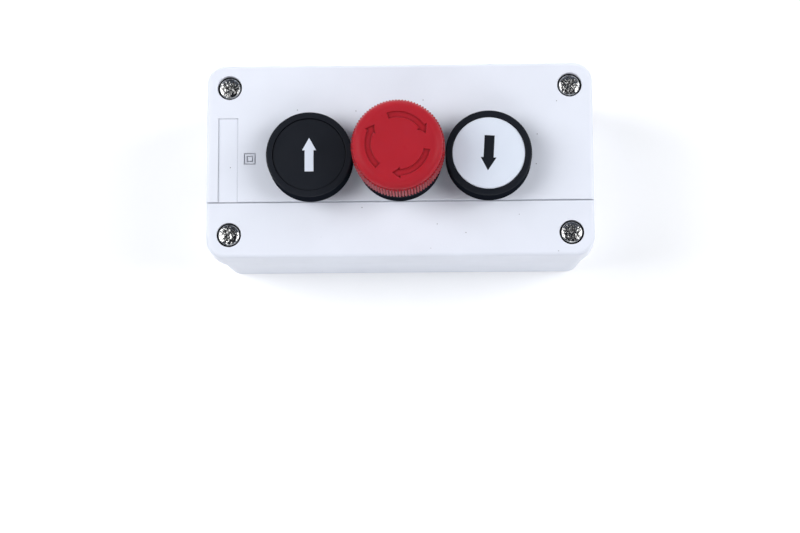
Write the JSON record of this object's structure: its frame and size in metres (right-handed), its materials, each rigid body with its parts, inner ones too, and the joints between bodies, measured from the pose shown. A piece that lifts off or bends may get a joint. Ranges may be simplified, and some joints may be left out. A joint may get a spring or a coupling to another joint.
{
  "type": "pendant control station",
  "caption": "Insulated control station with an up button, a turn-to-release stop head and a down button over sealed contact blocks.",
  "frame": {"origin": "centre of the flat mounting face at the back of the base box", "axes": "+X along the case, away from the cable entry; +Y across it, the way the up arrow points; +Z out of the front panel, towards the user"},
  "size_m": [0.131, 0.0662, 0.0783],
  "materials": {
    "case_white": "fine moulded texture, cool white",
    "seal_rubber": "soft black rubber",
    "plated_steel": "bright plated",
    "zinc_steel": "zinc plated",
    "spring_steel": "drawn wire",
    "black_plastic": "satin moulded black",
    "black_cap": "satin moulded black",
    "white_plastic": "smooth moulded white",
    "natural_plastic": "unpigmented moulded plastic",
    "stop_red": "satin moulded red",
    "block_grey": "moulded dark grey",
    "make_green": "moulded green",
    "break_red": "moulded red",
    "contact_brass": "stamped brass"
  },
  "bodies": {
    "station": {"base_box": "case_white", "front_cover": "case_white", "cover_gasket": "seal_rubber", "cover_screws": "plated_steel", "screw_seals": "seal_rubber", "bezel_seals": "seal_rubber", "panel_nuts": "black_plastic", "collar_screws": "zinc_steel", "terminal_screws": "zinc_steel", "terminal_clamps": "zinc_steel", "stop_latch_ring": "natural_plastic", "up_bezel": "black_plastic", "up_collar": "black_plastic", "up_block": "block_grey", "up_block_lid": "block_grey", "up_terminals": "contact_brass", "up_spring": "spring_steel", "up_contact_spring": "spring_steel", "down_bezel": "black_plastic", "down_collar": "black_plastic", "down_block": "block_grey", "down_block_lid": "block_grey", "down_terminals": "contact_brass", "down_spring": "spring_steel", "down_contact_spring": "spring_steel", "stop_bezel": "black_plastic", "stop_collar": "black_plastic", "stop_block": "block_grey", "stop_block_lid": "block_grey", "stop_terminals": "contact_brass", "stop_spring": "spring_steel", "stop_contact_spring": "spring_steel"},
    "up_button": {"up_cap": "black_cap", "up_arrow": "white_plastic", "up_plunger": "natural_plastic"},
    "up_contact": {"up_actuator": "make_green", "up_bridge": "contact_brass"},
    "down_button": {"down_cap": "white_plastic", "down_arrow": "black_cap", "down_plunger": "natural_plastic"},
    "down_contact": {"down_actuator": "make_green", "down_bridge": "contact_brass"},
    "stop_slider": {"stop_shaft": "natural_plastic", "stop_twist_spring": "spring_steel"},
    "stop_knob": {"stop_head": "stop_red"},
    "stop_contact": {"stop_actuator": "break_red", "stop_bridge": "contact_brass"}
  },
  "joints": [
    {"name": "up_push", "type": "slide", "parent": "station", "child": "up_button", "axis": [0, 0, -1], "range_m": [0, 0.004], "stiffness_N_per_m": 600, "springref_m": -0.003, "deforming": ["up_spring"]},
    {"name": "up_contact_push", "type": "slide", "parent": "station", "child": "up_contact", "axis": [0, 0, -1], "range_m": [0, 0.004], "stiffness_N_per_m": 250, "springref_m": -0.003, "deforming": ["up_contact_spring"]},
    {"name": "down_push", "type": "slide", "parent": "station", "child": "down_button", "axis": [0, 0, -1], "range_m": [0, 0.004], "stiffness_N_per_m": 600, "springref_m": -0.003, "deforming": ["down_spring"]},
    {"name": "down_contact_push", "type": "slide", "parent": "station", "child": "down_contact", "axis": [0, 0, -1], "range_m": [0, 0.004], "stiffness_N_per_m": 250, "springref_m": -0.003, "deforming": ["down_contact_spring"]},
    {"name": "stop_push", "type": "slide", "parent": "station", "child": "stop_slider", "axis": [0, 0, -1], "range_m": [0, 0.004], "deforming": ["stop_spring"]},
    {"name": "stop_twist", "type": "hinge", "parent": "stop_slider", "child": "stop_knob", "pos_m": [0, 0, 0.07], "axis": [0, 0, -1], "range_deg": [0, 35], "stiffness_Nm_per_rad": 0.05, "springref_deg": -5.73},
    {"name": "stop_contact_push", "type": "slide", "parent": "station", "child": "stop_contact", "axis": [0, 0, -1], "range_m": [0, 0.004], "deforming": ["stop_contact_spring"]}
  ],
  "couplings": [
    {"joint": "up_contact_push", "follows": "up_push", "ratio": 1},
    {"joint": "down_contact_push", "follows": "down_push", "ratio": 1},
    {"joint": "stop_contact_push", "follows": "stop_push", "ratio": 1}
  ]
}
